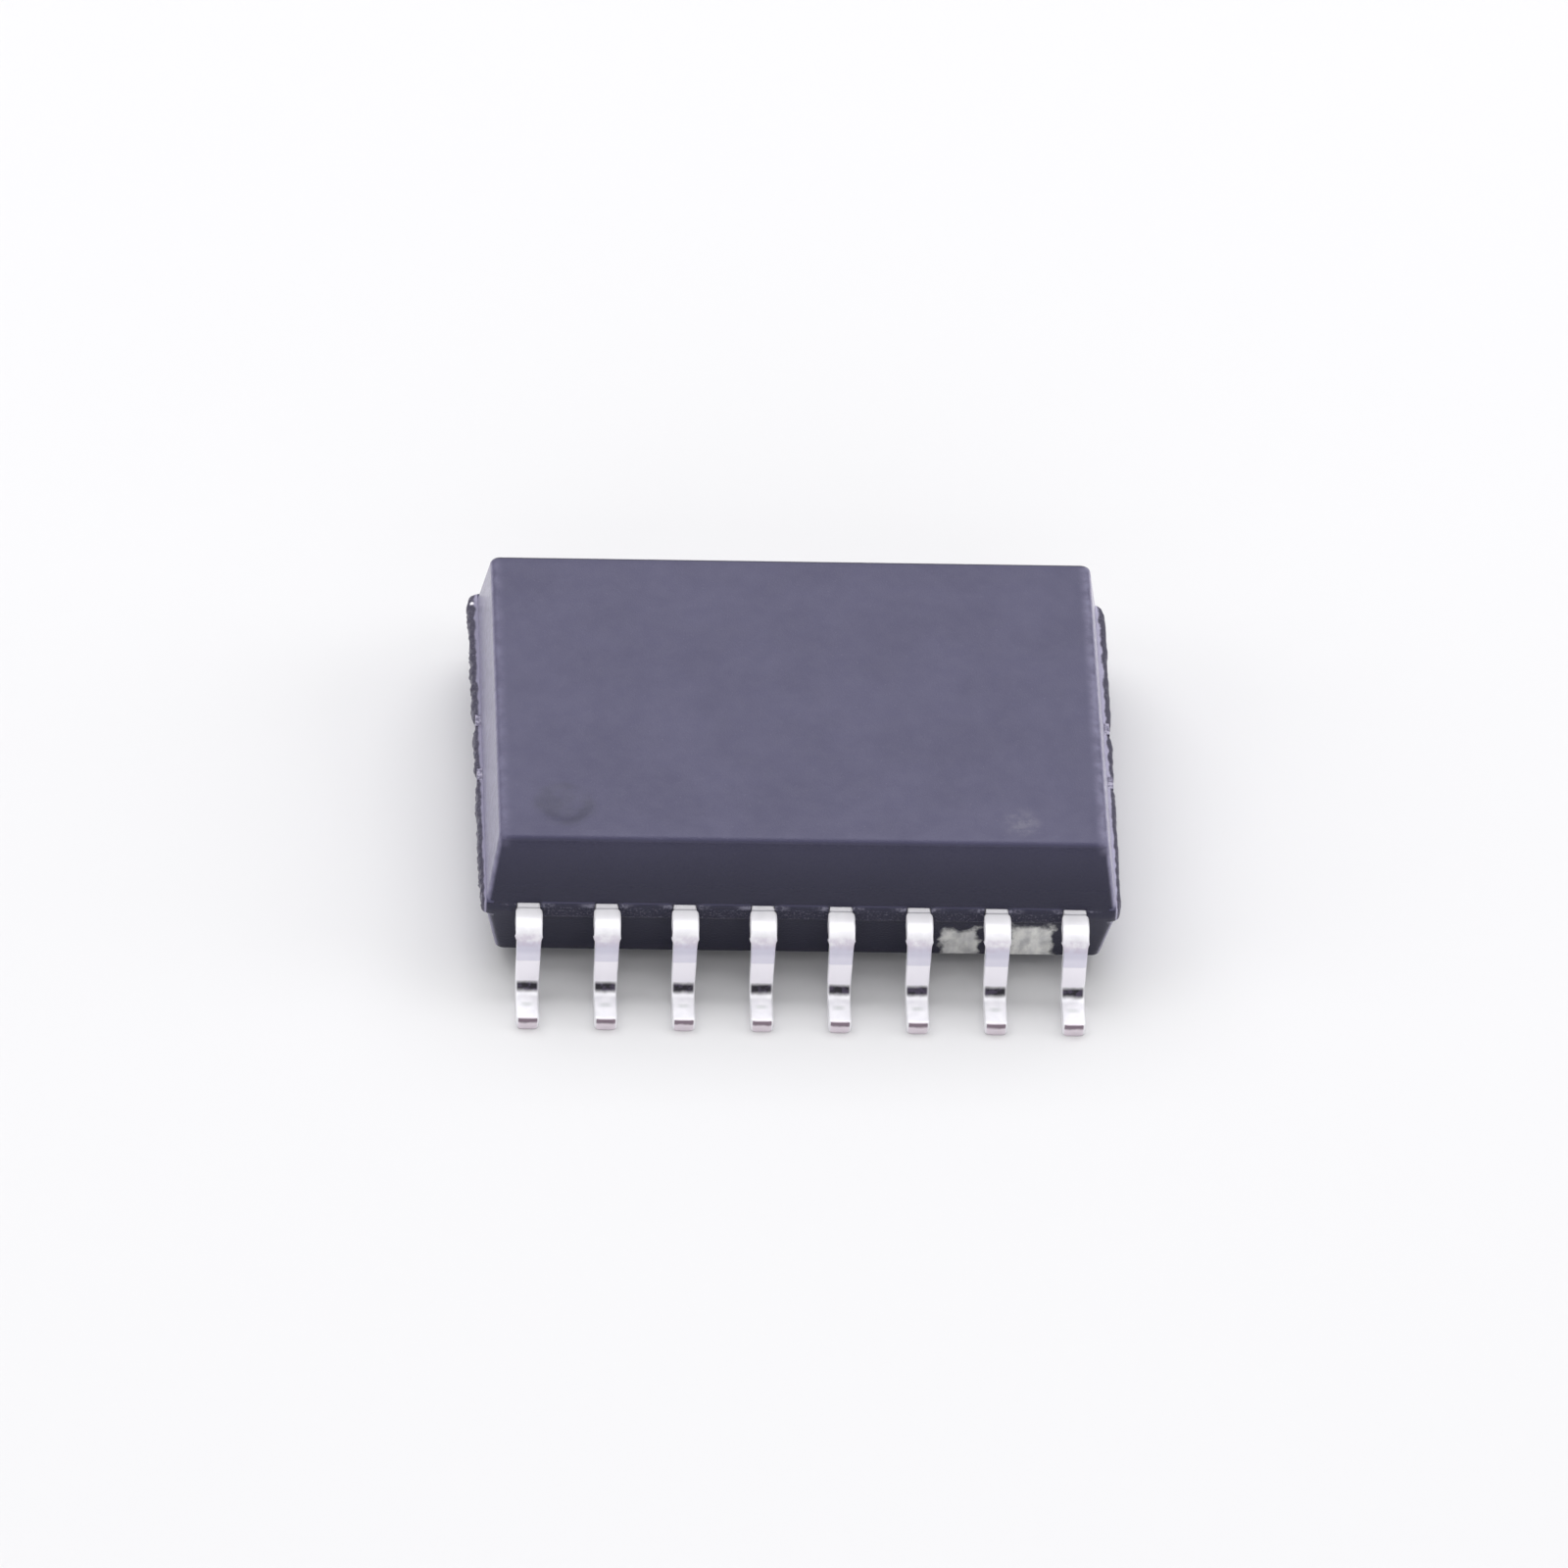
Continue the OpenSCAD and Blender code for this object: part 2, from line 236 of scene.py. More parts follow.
def filled_epoxy(t, grain):
    """Dark epoxy, slightly cloudy, with pale filler grains and dark pores."""
    base = t.mix(t.ramp(t.noise(0.9, detail=3), 0.3, 0.7), srgb(59, 57, 82), srgb(65, 63, 88))
    base = t.mix(t.ramp(grain, 0.62, 0.78, 0, 0.35), base, srgb(120, 118, 136))
    return t.mix(t.ramp(grain, 0.38, 0.22, 0, 0.5), base, srgb(42, 40, 58))


def painted_shade_long_walls(t, base):
    """Painted shade on the walls behind the leads, darker toward the floor."""
    wall = t.larger(t.ramp(t.facing[1], 0.6, 0.9), t.ramp(t.out, SIDE - 0.035, SIDE - 0.020))
    low = t.ramp(t.z, 2.75, 1.6, 0.55, 1.05)
    return t.mix(t.product(wall, low, 0.88), base, srgb(14, 14, 36))


def dull_mark(t, base):
    """The dull smear over the recess that marks lead 1."""
    spot = t.near((*MARK_PLACE, TOP), 0.60, 0.40)
    smear = t.ramp(t.noise(3.2), 0.3, 0.65, 0.08, 0.42)
    on_top = t.ramp(t.z, TOP - 0.06, TOP - 0.04)
    return t.mix(t.product(spot, smear, on_top), base, srgb(34, 36, 44))


def powder_and_painted_sheen_ends(t, base, patch):
    """Pale powder on the end walls and on the top beside them, with a painted grazing highlight on the same
    places; paler at the right end, where that painted highlight is brighter.
    """
    powder = t.ramp(t.noise(7, detail=5, roughness=0.6), 0.3, 0.7, 0.50, 0.88)
    end_wall = t.product(t.ramp(t.facing[0], 0.35, 0.9), powder)
    # Painted highlight on the top beside the ends and on its rounded edge, mottled with powder.
    rim = t.product(t.ramp(t.across, 4.72, 4.93), t.ramp(t.z, 2.4, 2.55))
    powder_and_sheen = t.larger(end_wall, t.product(rim, t.ramp(patch, 0.3, 0.7, 0.1, 0.4)))
    # Powder colour carrying a painted grazing highlight, paler at the right end.
    return t.mix(powder_and_sheen, base, t.mix(t.ramp(t.x, -1, 1), srgb(128, 124, 150), srgb(158, 154, 180)))


def flash_skin_and_painted_shade(t, patch):
    """Colour of the flash: pale beside the body and paler at the right end, where a highlight is painted;
    dark toward its torn rim, rough compound darkened further by painted shade; with pale grains.
    """
    lean = (FLASH_REAR - FLASH_FRONT) / (2 * SIDE)
    reach = t.math("MULTIPLY_ADD", t.y, lean, (FLASH_FRONT + FLASH_REAR) / 2)
    share = t.math("DIVIDE", t.minus(t.across, END - 0.02), t.plus(reach, 0.02))
    share = t.plus(share, t.product(t.minus(patch, 0.5), 0.9))
    # Paler at the right end: painted highlight.
    inner = t.mix(t.ramp(t.x, -1, 1), srgb(146, 142, 164), srgb(182, 178, 200))
    # Darker toward the rim: torn compound with painted shade.
    skin = t.mix(t.ramp(share, 0.18, 0.46), inner, srgb(48, 44, 62))
    return t.mix(t.ramp(t.noise(34, detail=3), 0.58, 0.7, 0, 0.45), skin, srgb(150, 147, 164))


def painted_shade_rear_rim(t, base):
    """Painted shade: the dark line along the rear edge of the top, on the rounding that turns away."""
    rim = t.product(t.ramp(t.y, 3.325, 3.36), t.ramp(t.z, TOP - 0.10, TOP - 0.05))
    return t.mix(t.product(rim, 0.7), base, srgb(34, 34, 36))


def dusty_roots(t, base):
    """Pale dust on top of the ledges, thickest beside the leads."""
    round_lead = t.ramp(t.absolute(from_lead(t)), 0.40, 0.18)
    specks = t.ramp(t.noise(15, detail=4), 0.4, 0.62, 0.05, 0.5)
    edge = t.product(t.ramp(t.out, SIDE - 0.035, SIDE - 0.02), t.ramp(t.z, 1.40, 1.44))
    return t.mix(t.product(round_lead, specks, edge), base, srgb(156, 154, 172))


def residue(t):
    """Share of pale dried film: two patches on the lower front wall and a speckled dab by the front edge."""
    wander = t.product(t.minus(t.noise(4, detail=5), 0.5), 0.45)
    film = 0.0
    for middle, half, top, cover in RESIDUE_PATCHES:
        sides = t.ramp(t.plus(t.apart(t.x, middle), wander), half + 0.05, half - 0.08)
        below = t.ramp(t.plus(t.z, wander), top + 0.05, top - 0.12)
        film = t.larger(film, t.product(sides, below, cover))
    thin = t.ramp(t.noise(6, detail=5, stretch=(1, 1, 0.6)), 0.30, 0.62, 0.68, 1.0)
    film = t.product(film, thin, t.ramp(t.y, -3.45, -3.55))
    dab = t.product(t.near(DAB_PLACE, 0.42, 0.08), t.ramp(t.noise(7, detail=3), 0.38, 0.66, 0.01, 0.075))
    return t.larger(film, dab)


def moulding_compound():
    """Black epoxy with fine filler: matt faces above and below, smoother drafted walls, dull torn flash."""
    t = Material("moulding_compound")
    grain = t.noise(26, detail=4, roughness=0.65)
    patch = t.noise(5, detail=4)
    flash = t.product(t.ramp(t.across, END - 0.030, END - 0.018), t.ramp(t.z, 1.480, 1.472))
    between_leads = t.ramp(t.across, OUTER_LEAD, OUTER_LEAD - 0.005)
    ledge = t.product(t.ramp(t.out, SIDE - 0.004, SIDE + 0.008), between_leads, t.ramp(t.z, 1.44, 1.40))
    film = residue(t)

    base = filled_epoxy(t, grain)
    base = painted_shade_long_walls(t, base)
    base = dull_mark(t, base)
    base = powder_and_painted_sheen_ends(t, base, patch)
    base = t.mix(flash, base, flash_skin_and_painted_shade(t, patch))
    base = t.mix(t.near(SPECK_PLACE, 0.05, 0.02), base, srgb(236, 234, 240))
    base = painted_shade_rear_rim(t, base)
    ledge_grains = t.ramp(t.noise(30, detail=4), 0.5, 0.75, 0.0, 0.5)
    base = t.mix(t.product(ledge, ledge_grains), base, srgb(140, 138, 154))
    base = dusty_roots(t, base)
    streaks = t.ramp(t.noise(7, detail=4, stretch=(1, 1, 0.45)), 0.3, 0.7)
    base = t.mix(film, base, t.mix(streaks, srgb(222, 222, 220), srgb(250, 250, 244)))

    torn = t.larger(flash, t.larger(ledge, film))
    polished = t.product(t.ramp(t.facing[2], 0.75, 0.45), t.minus(1.0, torn))
    matt = t.ramp(t.noise(3.5), 0.3, 0.7, 0.42, 0.5)
    t.surface(Base_Color=base, Roughness=t.blend(polished, matt, 0.14))
    t.surface(IOR=1.55, Specular_Tint=(0.84, 0.83, 1.0, 1))
    t.surface(Sheen_Weight=0.35, Sheen_Roughness=0.3, Sheen_Tint=(0.88, 0.86, 1.0, 1))
    t.bump(t.product(grain, t.blend(torn, 1.0, 2.5)), 0.006)
    return t.material


# ---- Tin plate of the leads ----

def shaded_leg(t, base):
    """Painted light and shade on the leg's outer face: darker toward the shoulder and palest in its lower
    half; and a painted highlight on the lead's top.
    """
    face = t.ramp(t.out, LEG_FACE - 0.06, LEG_FACE - 0.02)
    high = t.product(face, t.ramp(t.z, 0.84, 0.88))
    low = t.product(face, t.ramp(t.z, 0.88, 0.84), t.ramp(t.z, 0.40, 0.46))
    base = t.mix(t.product(high, 0.8), base, srgb(224, 221, 236))
    base = t.mix(t.product(high, t.ramp(t.z, 0.98, 1.12, 0, 0.5)), base, srgb(196, 194, 212))
    base = t.mix(low, base, srgb(252, 249, 255))
    return t.mix(t.ramp(t.z, 1.43, 1.455, 0, 0.9), base, srgb(249, 248, 250))


def foot_band(t, across, mottle):
    """Share of the dark band in the hollow of the foot's bend, by angle and distance from its middle."""
    down = t.minus(FOOT + THICK, t.z)
    inward = t.minus(LEG_FACE + FOOT, t.out)
    turn = t.product(t.math("ARCTAN2", down, inward), 180 / math.pi)
    turn = t.plus(turn, t.product(t.minus(mottle, 0.5), 14.0))
    away = t.math("SQRT", t.plus(t.math("POWER", down, 2.0), t.math("POWER", inward, 2.0)))
    band = t.product(t.ramp(turn, 0, 26), t.ramp(turn, 70, 42), t.ramp(away, FOOT + 0.05, FOOT + 0.02))
    return t.product(band, t.ramp(across, -0.186, -0.142), t.ramp(across, 0.200, 0.150))


def tool_lines_and_root_shade(t, base, across):
    """Painted shade in the forming tool's shallow groove near the root, as a grey line, and the tool's faint
    line on the foot.
    """
    root = t.ramp(t.apart(t.out, LEAD_START + ROOT_LINE), 0.036, 0.006)
    root = t.product(root, t.ramp(t.z, 1.40, 1.44))
    foot = t.product(t.ramp(t.apart(t.out, FOOT_LINE), 0.080, 0.010), t.ramp(t.z, 0.3, 0.27))
    foot = t.product(foot, t.ramp(t.z, 0.2, 0.23), t.ramp(t.absolute(across), 0.15, 0.02))
    # Grey root line: painted shade in the groove.
    base = t.mix(t.product(root, 0.55), base, srgb(128, 126, 136))
    return t.mix(t.product(foot, 0.30), base, srgb(150, 160, 150))


def dam_bar_tear(t, base):
    """The dull torn patch below the shoulder, where the dam bar was cut."""
    patch = t.product(t.ramp(t.out, 4.31, 4.36), t.ramp(t.z, 1.13, 1.20))
    torn = t.product(patch, t.ramp(t.noise(9, detail=4), 0.3, 0.7, 0.15, 0.65))
    return t.mix(torn, base, srgb(200, 190, 206))


def toe_metal(t, mottle):
    """Colour of the sheared toe: pale below, dull copper in the broken upper part."""
    height = t.plus(t.z, t.product(t.minus(mottle, 0.5), 0.06))
    broken = t.product(t.ramp(height, 0.115, 0.175), t.ramp(t.z, 0.250, 0.215))
    return t.mix(broken, srgb(228, 218, 226), srgb(132, 116, 128))


def tin_plate():
    """Matt tin: dark band in the foot's bend, painted light and shade on the leg, marks of the forming tool
    with painted shade in the root groove, copper at the sheared toe.
    """
    t = Material("lead_plating")
    across = t.product(from_lead(t), PITCH, t.product(t.math("SIGN", t.y), -1.0))
    mottle = t.noise(7, detail=4)
    drawn = t.noise(9, detail=3, stretch=(1, 0.12, 0.12))
    band = foot_band(t, across, mottle)
    sheared = t.ramp(t.out, TOE - 0.016, TOE - 0.008)

    base = t.mix(t.ramp(mottle, 0.3, 0.7), srgb(236, 235, 239), srgb(244, 243, 246))
    base = shaded_leg(t, base)
    # Dark colour for the band in the foot's bend.
    band_colour = t.mix(t.ramp(t.noise(11, detail=4), 0.42, 0.64), srgb(12, 6, 24), srgb(66, 56, 80))
    base = t.mix(t.product(band, 0.97), base, band_colour)
    base = tool_lines_and_root_shade(t, base, across)
    base = dam_bar_tear(t, base)
    base = t.mix(sheared, base, toe_metal(t, mottle))

    # Less metallic in the dark band and at the sheared toe.
    band_and_sheared_toe = t.larger(t.product(band, 0.7), sheared)
    t.surface(Base_Color=base, Metallic=t.blend(band_and_sheared_toe, 0.4, 0.3))
    t.surface(Roughness=t.blend(band, t.ramp(drawn, 0.3, 0.7, 0.46, 0.56), 0.8))
    t.bump(drawn, 0.002)
    return t.material


# ---- Other materials ----

def lead_frame_copper():
    """Copper alloy inside the body; the sheared ends of the tie bars that show are pale and dull."""
    t = Material("copper")
    mottle = t.noise(8, detail=4)
    base = t.mix(t.ramp(mottle, 0.3, 0.7), srgb(182, 121, 90), srgb(198, 132, 98))
    cut_end = t.ramp(t.across, END - 0.05, END - 0.03)
    pale = t.mix(t.ramp(t.noise(20, detail=3), 0.42, 0.62), srgb(98, 94, 114), srgb(158, 154, 172))
    base = t.mix(cut_end, base, pale)
    t.surface(Base_Color=base, Metallic=t.blend(cut_end, 1.0, 0.35), Roughness=t.blend(mottle, 0.32, 0.42))
    t.bump(t.noise(20), 0.002)
    return t.material


def bond_wire_gold():
    """Drawn gold, slightly mottled."""
    t = Material("bond_wire")
    gold = (222, 178, 84)
    darker = [0.92 * channel for channel in gold]
    base = t.mix(t.ramp(t.noise(8, detail=4), 0.3, 0.7), srgb(*darker), srgb(*gold))
    t.surface(Base_Color=base, Metallic=1.0, Roughness=t.ramp(t.noise(12), 0.3, 0.7, 0.20, 0.30))
    t.bump(t.noise(20), 0.002)
    return t.material


def die_attach_epoxy():
    """Grey epoxy filled with silver."""
    t = Material("die_attach")
    base = t.mix(t.ramp(t.noise(30, detail=4), 0.4, 0.6), srgb(176, 176, 172), srgb(204, 204, 200))
    t.surface(Base_Color=base, Roughness=0.45, Metallic=0.5)
    t.bump(t.noise(25), 0.004)
    return t.material


def silicon():
    """Polished silicon, blue grey."""
    t = Material("silicon")
    base = t.mix(t.ramp(t.noise(4, detail=2), 0.3, 0.7), srgb(92, 98, 112), srgb(104, 110, 124))
    t.surface(Base_Color=base, Roughness=t.ramp(t.noise(10), 0.3, 0.7, 0.12, 0.2), Metallic=0.6)
    t.bump(t.noise(14), 0.001)
    return t.material


def dress_cad_nodes():
    """Gives every CAD node the material of its slot, and returns the materials by slot."""
    by_slot = {
        "moulding_compound": moulding_compound(),
        "lead_plating": tin_plate(),
        "copper": lead_frame_copper(),
        "die_attach": die_attach_epoxy(),
        "silicon": silicon(),
        "bond_wire": bond_wire_gold(),
    }
    for part in frame["record"]["subparts"]:
        node = frame["nodes"][part["node"]]
        node.data.materials.clear()
        node.data.materials.append(by_slot[part["material_slot"]])
    return by_slot


# ---- Shape helpers ----

def smooth(value, low, high):
    """A smooth step from 0 at low to 1 at high."""
    share = min(1.0, max(0.0, (value - low) / (high - low)))
    return share * share * (3 - 2 * share)


def along(value, table):
    """The value on straight lines through the table's pairs of place and value."""
    for (a, va), (b, vb) in zip(table, table[1:]):
        if value <= b:
            return va + (vb - va) * max(0.0, value - a) / (b - a)
    return table[-1][1]


def rough(x, y, z, per_mm):
    """Smooth noise between about -1 and 1."""
    return noise.noise(Vector((x * per_mm, y * per_mm, z * per_mm)))


def cad_copy(node):
    """A working copy of a CAD node's mesh."""
    part = bmesh.new()
    part.from_mesh(node.data)
    part.transform(node.matrix_world)
    return part


def move_into(bm, part):
    """Adds one working mesh to another and frees it."""
    mesh = bpy.data.meshes.new("passing")
    part.to_mesh(mesh)
    part.free()
    bm.from_mesh(mesh)
    bpy.data.meshes.remove(mesh)


def piece(name, bm, replaced, sharp_degrees):
    """Makes a working mesh a piece in place of a CAD node, with that node's material."""
    mesh = bpy.data.meshes.new(name)
    bm.to_mesh(mesh)
    bm.free()
    for face in mesh.polygons:
        face.use_smooth = True
    mesh.set_sharp_from_angle(angle=math.radians(sharp_degrees))
    made = bpy.data.objects.new(name, mesh)
    bpy.context.scene.collection.objects.link(made)
    slot_name = slots[replaced]
    mesh.materials.clear()
    mesh.materials.append(materials[slot_name])
    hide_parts(replaced)
    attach(made, "root")


# ---- Leads ----

# Radii of the middle line in the two bends, and lengths of its run: stub, bend, leg, bend, foot
ARC_1 = SHOULDER + THICK / 2
ARC_2 = FOOT + THICK / 2
LEG_MIDDLE = LEG_FACE - THICK / 2
RUN = (
    LEG_MIDDLE - ARC_1 - LEAD_START,
    ARC_1 * math.pi / 2,
    PARTING - ARC_1 - THICK / 2 - ARC_2,
    ARC_2 * math.pi / 2,
    TOE - LEG_MIDDLE - ARC_2,
)
LEAD_LENGTH = sum(RUN)
# Lengths along the lead and its half widths there: root, stub of the dam bar, tear at its end, leg, foot
LEFT_EDGE = (
    (0.00, 0.182), (0.19, 0.180), (0.212, 0.188), (0.24, 0.204), (0.28, 0.210), (0.36, 0.212), (0.50, 0.210),
    (0.62, 0.207), (0.65, 0.209), (0.675, 0.221), (0.70, 0.215), (0.73, 0.197), (0.80, 0.192), (1.45, 0.188),
    (1.95, 0.182), (3.00, 0.180),
)
RIGHT_EDGE = (
    (0.00, 0.192), (0.19, 0.190), (0.215, 0.202), (0.24, 0.218), (0.28, 0.225), (0.36, 0.227), (0.50, 0.225),
    (0.62, 0.220), (0.66, 0.222), (0.685, 0.227), (0.71, 0.212), (0.74, 0.203), (0.80, 0.199), (1.45, 0.197),
    (1.95, 0.193), (3.00, 0.190),
)


def lead_path(s):
    """The lead's middle line at a length s along it: distance out, height and turn from level."""
    if s <= RUN[0]:
        return LEAD_START + s, PARTING, 0.0
    s -= RUN[0]
    if s <= RUN[1]:
        turn = s / ARC_1
        return LEG_MIDDLE - ARC_1 + ARC_1 * math.sin(turn), PARTING - ARC_1 + ARC_1 * math.cos(turn), turn
    s -= RUN[1]
    if s <= RUN[2]:
        return LEG_MIDDLE, PARTING - ARC_1 - s, math.pi / 2
    s -= RUN[2]
    if s <= RUN[3]:
        turn = math.pi / 2 - s / ARC_2
        return LEG_MIDDLE + ARC_2 - ARC_2 * math.sin(turn), THICK / 2 + ARC_2 - ARC_2 * math.cos(turn), turn
    s -= RUN[3]
    return LEG_MIDDLE + ARC_2 + s, THICK / 2, 0.0


def lead_stations():
    """Lengths along the lead at which it gets a ring: close in bends, edges and lines, wide elsewhere."""
    places = {0.0, LEAD_LENGTH}
    places.update(a for a, _ in LEFT_EDGE + RIGHT_EDGE if a < LEAD_LENGTH)
    for part, count in ((1, 14), (3, 14), (2, 8)):
        places.update(sum(RUN[:part]) + RUN[part] * k / count for k in range(count + 1))
    places.update(ROOT_LINE + d for d in (-0.03, -0.015, 0.0, 0.015, 0.03))
    places.update(LEAD_LENGTH - d for d in (TOE_BEVEL / 2, TOE_BEVEL, 0.03, 0.05, TOE_RADIUS, 0.1))
    kept = []
    for s in sorted(places):
        if not kept or s - kept[-1] > 0.004:
            kept.append(s)
    return kept


def lead_section(left, right, top, bottom):
    """Cross-section of a lead with rolled edges, the sharpest at the upper left."""
    corners = (
        (right, top, 0.040, 0, 6), (-left, top, 0.026, 90, 5),
        (-left, bottom, 0.040, 180, 4), (right, bottom, 0.040, 270, 4),
    )
    points = []
    for x, z, radius, first, count in corners:
        cx = x - math.copysign(radius, x)
        cz = z - math.copysign(radius, z)
        for k in range(count):
            a = math.radians(first + 90 * k / (count - 1))
            points.append((cx + radius * math.cos(a), cz + radius * math.sin(a)))
        if first == 0:
            points += [(right + (-left - right) * share, top) for share in (0.3, 0.5, 0.7)]
    return points


def lead_ring(s, seed):
    """The ring of points (across, out, up) of one station."""
    out, height, turn = lead_path(s)
    wobble = 0.003 * rough(seed * 3.1, s, 0, 4)
    left = along(s, LEFT_EDGE) + wobble
    right = along(s, RIGHT_EDGE) - wobble
    from_toe = LEAD_LENGTH - s
    into_corner = max(0.0, TOE_RADIUS - from_toe)
    trim = TOE_RADIUS - math.sqrt(max(0.0, TOE_RADIUS ** 2 - into_corner ** 2)) if into_corner else 0.0
    edge = 0.012 * smooth(TOE_BEVEL - from_toe, 0, TOE_BEVEL)
    line = 0.006 * math.exp(-((s - ROOT_LINE) / 0.012) ** 2)
    top = THICK / 2 - edge - line
    bottom = -THICK / 2 + edge * 0.5
    normal = (math.sin(turn), math.cos(turn))
    points = []
    for across, off in lead_section(left - trim, right - trim, top, bottom):
        points.append((across, out + normal[0] * off, height + normal[1] * off))
    return points


def swept_lead(bm, place, turn, seed):
    """Adds the formed part of a lead, closed at both ends."""
    rings = []
    for s in lead_stations():
        ring = []
        for across, out, up in lead_ring(s, seed):
            at = Vector((turn * (place * PITCH + across), -turn * out, up)) * MM
            ring.append(bm.verts.new(at))
        rings.append(ring)
    for a, b in zip(rings, rings[1:]):
        for k in range(len(a)):
            n = (k + 1) % len(a)
            bm.faces.new((a[k], a[n], b[n], b[k]))
    bm.faces.new(list(reversed(rings[0])))
    bm.faces.new(rings[-1])


def inner_lead(bm, node):
    """Adds the anchor and finger of the CAD lead, up to just inside the body's side."""
    part = cad_copy(node)
    out = -1 if sum(v.co.y for v in part.verts) < 0 else 1
    cut = Vector((0, out * (LEAD_START + 0.02) * MM, 0))
    bmesh.ops.bisect_plane(part, geom=part.verts[:] + part.edges[:] + part.faces[:], plane_co=cut,
                           plane_no=Vector((0, out, 0)), clear_outer=True)
    bmesh.ops.holes_fill(part, edges=[e for e in part.edges if e.is_boundary])
    move_into(bm, part)


def formed_lead(number):
    """One lead with its rolled edges, trimmed dam bar, tool lines and sheared toe."""
    name = "lead_%02d" % number
    place = (number - 1) % LEADS_PER_SIDE - (LEADS_PER_SIDE - 1) / 2
    turn = -1 if number > LEADS_PER_SIDE else 1
    bm = bmesh.new()
    swept_lead(bm, place, turn, number)
    inner_lead(bm, frame["nodes"][name])
    bmesh.ops.recalc_face_normals(bm, faces=bm.faces[:])
    piece(name + "_formed", bm, name, 40)


# ---- Body ----

def lead_places():
    """Where the leads' middles are along x."""
    return [(k - (LEADS_PER_SIDE - 1) / 2) * PITCH for k in range(LEADS_PER_SIDE)]


def spread(fixed, step, mark_middle):
    """All fixed places, and others between them, no further apart than step and closer over the mark."""
    first, last = mark_middle - MARK_NET, mark_middle + MARK_NET
    fixed = sorted({*fixed, first, last})
    places = [fixed[0]]
    for a, b in zip(fixed, fixed[1:]):
        over_mark = a >= first - 1e-6 and b <= last + 1e-6
        count = max(1, math.ceil((b - a) / (0.035 if over_mark else step)))
        places += [a + (b - a) * (k + 1) / count for k in range(count)]
    return places


def side_places():
    """Where the shell has points along its sides: the lead slots' edges are among them."""
    fixed = [-(END - CORNER), END - CORNER]
    for place in lead_places():
        fixed += [place - WIDTH / 2, place + WIDTH / 2]
    return spread(fixed, 0.10, MARK_PLACE[0])


def end_places():
    """Where the shell has points along its ends; both edges of a tie bar's gap are there twice."""
    gaps = [tie + s * TIE_WIDTH / 2 for tie in TIE_PLACES for s in (-1, 1)]
    places = spread([-(SIDE - CORNER), SIDE - CORNER] + gaps, 0.045, MARK_PLACE[1])
    return sorted(places + gaps)


def in_tie_gap(y, edges_too):
    """Whether a place along an end lies in a tie bar's gap in the flash."""
    half = TIE_WIDTH / 2 + (1e-6 if edges_too else -1e-6)
    return any(abs(y - tie) < half for tie in TIE_PLACES)


def flash_reach(x, y, z):
    """How far the broken flash stands out of an end: its run, torn rim, chip and breaks beside the gaps."""
    base = FLASH_FRONT + (FLASH_REAR - FLASH_FRONT) * (y + SIDE) / (2 * SIDE)
    squarer = x < 0 < y
    corner = smooth(SIDE - abs(y), -0.12, 0.06 if squarer else FLASH_RUN_OUT)
    medium, fine = (0.030, 0.024) if x < 0 else (0.013, 0.010)
    torn = 0.012 * rough(x, y, 0, 4) + medium * rough(x, y, 0.3 * z, 9) + fine * rough(x, y, z, 23)
    chip = CHIP_DEPTH * math.exp(-((y - CHIP_PLACE) / CHIP_WIDTH) ** 2) if x < 0 else 0.0
    to_gap = min(abs(abs(y - tie) - TIE_WIDTH / 2) for tie in TIE_PLACES)
    broken = 1 - 0.35 * (1 - smooth(to_gap, 0, 0.07))
    return min(FLASH_LIMIT, (base + torn) * corner * broken - chip)


def ledge_reach(x, y, z):
    """How far the trimmed compound between two leads stands out of a side."""
    if abs(x) > OUTER_LEAD:
        return 0.0
    return LEDGE + 0.004 * rough(x, y, 0.3 * z, 5) + 0.003 * rough(x, y, 0.3 * z, 14)


def wall_inset(z):
    """How far the end walls and the long walls stand in from the parting line at a height."""
    if z >= PARTING:
        share = (z - PARTING) / (TOP - PARTING)
        return TOP_INSET[0] * share, TOP_INSET[1] * share
    share = (PARTING - z) / (PARTING - STANDOFF)
    return BOTTOM_INSET[0] * share, BOTTOM_INSET[1] * share


def edge_level(flat, radius, away, degrees):
    """A level in the rounding between a flat face and the walls; away is 1 or -1, toward the parting line."""
    turn = math.radians(degrees)
    return flat + away * radius * (1 - math.sin(turn)), radius * (1 - math.cos(turn)), None


def shell_levels():
    """Heights, edge rounding and share of the flash of every loop of the shell, from the underside up."""
    levels = [edge_level(STANDOFF, BOTTOM_EDGE, 1, a) for a in range(90, -1, -15)]
    levels += [(z, 0, None) for z in (0.45, 0.65, 0.85, 1.05, 1.15)]
    low, high = FRAME_BOTTOM, FRAME_TOP
    levels += [(low, 0, 0.0), (low, 0, 0.5), (low + 0.008, 0, 0.93)]
    levels += [(low + 0.03, 0, 1.0), (low + 0.07, 0, 1.0)]
    levels += [(PARTING, 0, 1.0), (high - 0.09, 0, 1.0), (high - 0.05, 0, 0.95), (high - 0.02, 0, 0.80)]
    levels += [(high, 0, 0.55), (high, 0, 0.28), (high, 0, 0.0)]
    levels += [(z, 0, None) for z in (1.52, 1.70, 1.95, 2.20, 2.40)]
    return levels + [edge_level(TOP, TOP_EDGE, -1, a) for a in range(0, 91, 15)]


